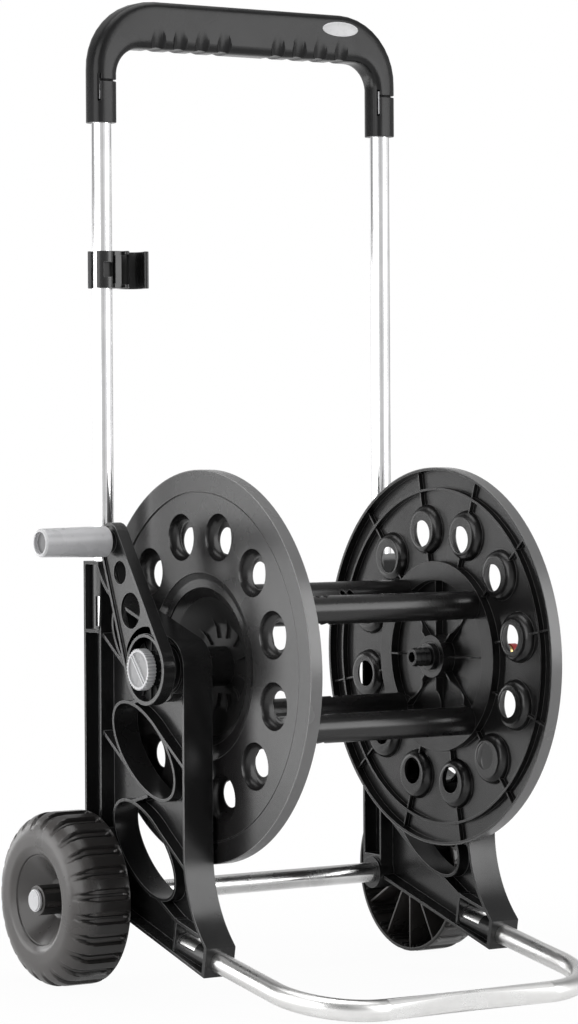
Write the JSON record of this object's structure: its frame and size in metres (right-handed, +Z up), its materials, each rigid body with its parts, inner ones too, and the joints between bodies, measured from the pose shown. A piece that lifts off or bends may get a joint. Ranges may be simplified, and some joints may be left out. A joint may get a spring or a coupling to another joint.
{
  "type": "hose reel cart",
  "caption": "Wheeled garden hose reel cart: ribbed plastic side frames, cranked reel with dished-hole flanges, bright tube handle with bow grip, foot bar and treaded wheels.",
  "frame": {"origin": "middle of the footprint on the floor", "axes": "+X along the reel axis from the crank to the water inlet, -Y toward the front where the foot bar is, +Z up"},
  "size_m": [0.5308, 0.456, 0.952],
  "materials": {
    "black_plastic": "satin moulded",
    "wheel_plastic": "matte moulded",
    "grey_plastic": "satin moulded",
    "bright_tube": "polished",
    "brass": "turned",
    "red_plastic": "gloss moulded",
    "seal_rubber": "matte"
  },
  "bodies": {
    "frame": {"left_side_frame": "black_plastic", "right_side_frame": "black_plastic", "foot_bar": "bright_tube", "wheel_axle": "bright_tube", "left_handle_tube": "bright_tube", "right_handle_tube": "bright_tube", "handle_grip": "black_plastic", "left_hub_cap": "grey_plastic", "right_hub_cap": "grey_plastic"},
    "reel": {"left_flange": "black_plastic", "right_flange": "black_plastic", "front_upper_drum_bar": "black_plastic", "front_lower_drum_bar": "black_plastic", "rear_lower_drum_bar": "black_plastic", "rear_upper_drum_bar": "black_plastic", "crank_spindle": "black_plastic", "crank_arm": "black_plastic", "crank_knob": "grey_plastic", "crank_pin": "black_plastic", "inlet_spindle": "black_plastic", "hose_tail": "black_plastic", "inlet_nut": "black_plastic"},
    "crank_grip": {"crank_grip": "grey_plastic"},
    "inlet": {"inlet_nipple": "brass", "inlet_collar": "red_plastic", "inlet_seals": "seal_rubber"},
    "left_wheel": {"left_wheel": "wheel_plastic"},
    "right_wheel": {"right_wheel": "wheel_plastic"},
    "nozzle_clip": {"nozzle_clip": "black_plastic"}
  },
  "joints": [
    {"name": "reel_spin", "type": "hinge", "parent": "frame", "child": "reel", "pos_m": [0.01575, 0.01, 0.3105], "axis": [1, 0, 0], "continuous": true},
    {"name": "crank_grip_spin", "type": "hinge", "parent": "reel", "child": "crank_grip", "pos_m": [-0.22925, 0.07291, 0.42882], "axis": [1, 0, 0], "continuous": true},
    {"name": "inlet_swivel", "type": "hinge", "parent": "reel", "child": "inlet", "pos_m": [0.23575, 0.01, 0.3105], "axis": [1, 0, 0], "continuous": true},
    {"name": "left_wheel_spin", "type": "hinge", "parent": "frame", "child": "left_wheel", "pos_m": [-0.20325, 0.144, 0.084], "axis": [1, 0, 0], "continuous": true},
    {"name": "right_wheel_spin", "type": "hinge", "parent": "frame", "child": "right_wheel", "pos_m": [0.23475, 0.144, 0.084], "axis": [1, 0, 0], "continuous": true},
    {"name": "clip_slide", "type": "slide", "parent": "frame", "child": "nozzle_clip", "axis": [0, 0, 1], "range_m": [-0.19, 0.11]}
  ]
}
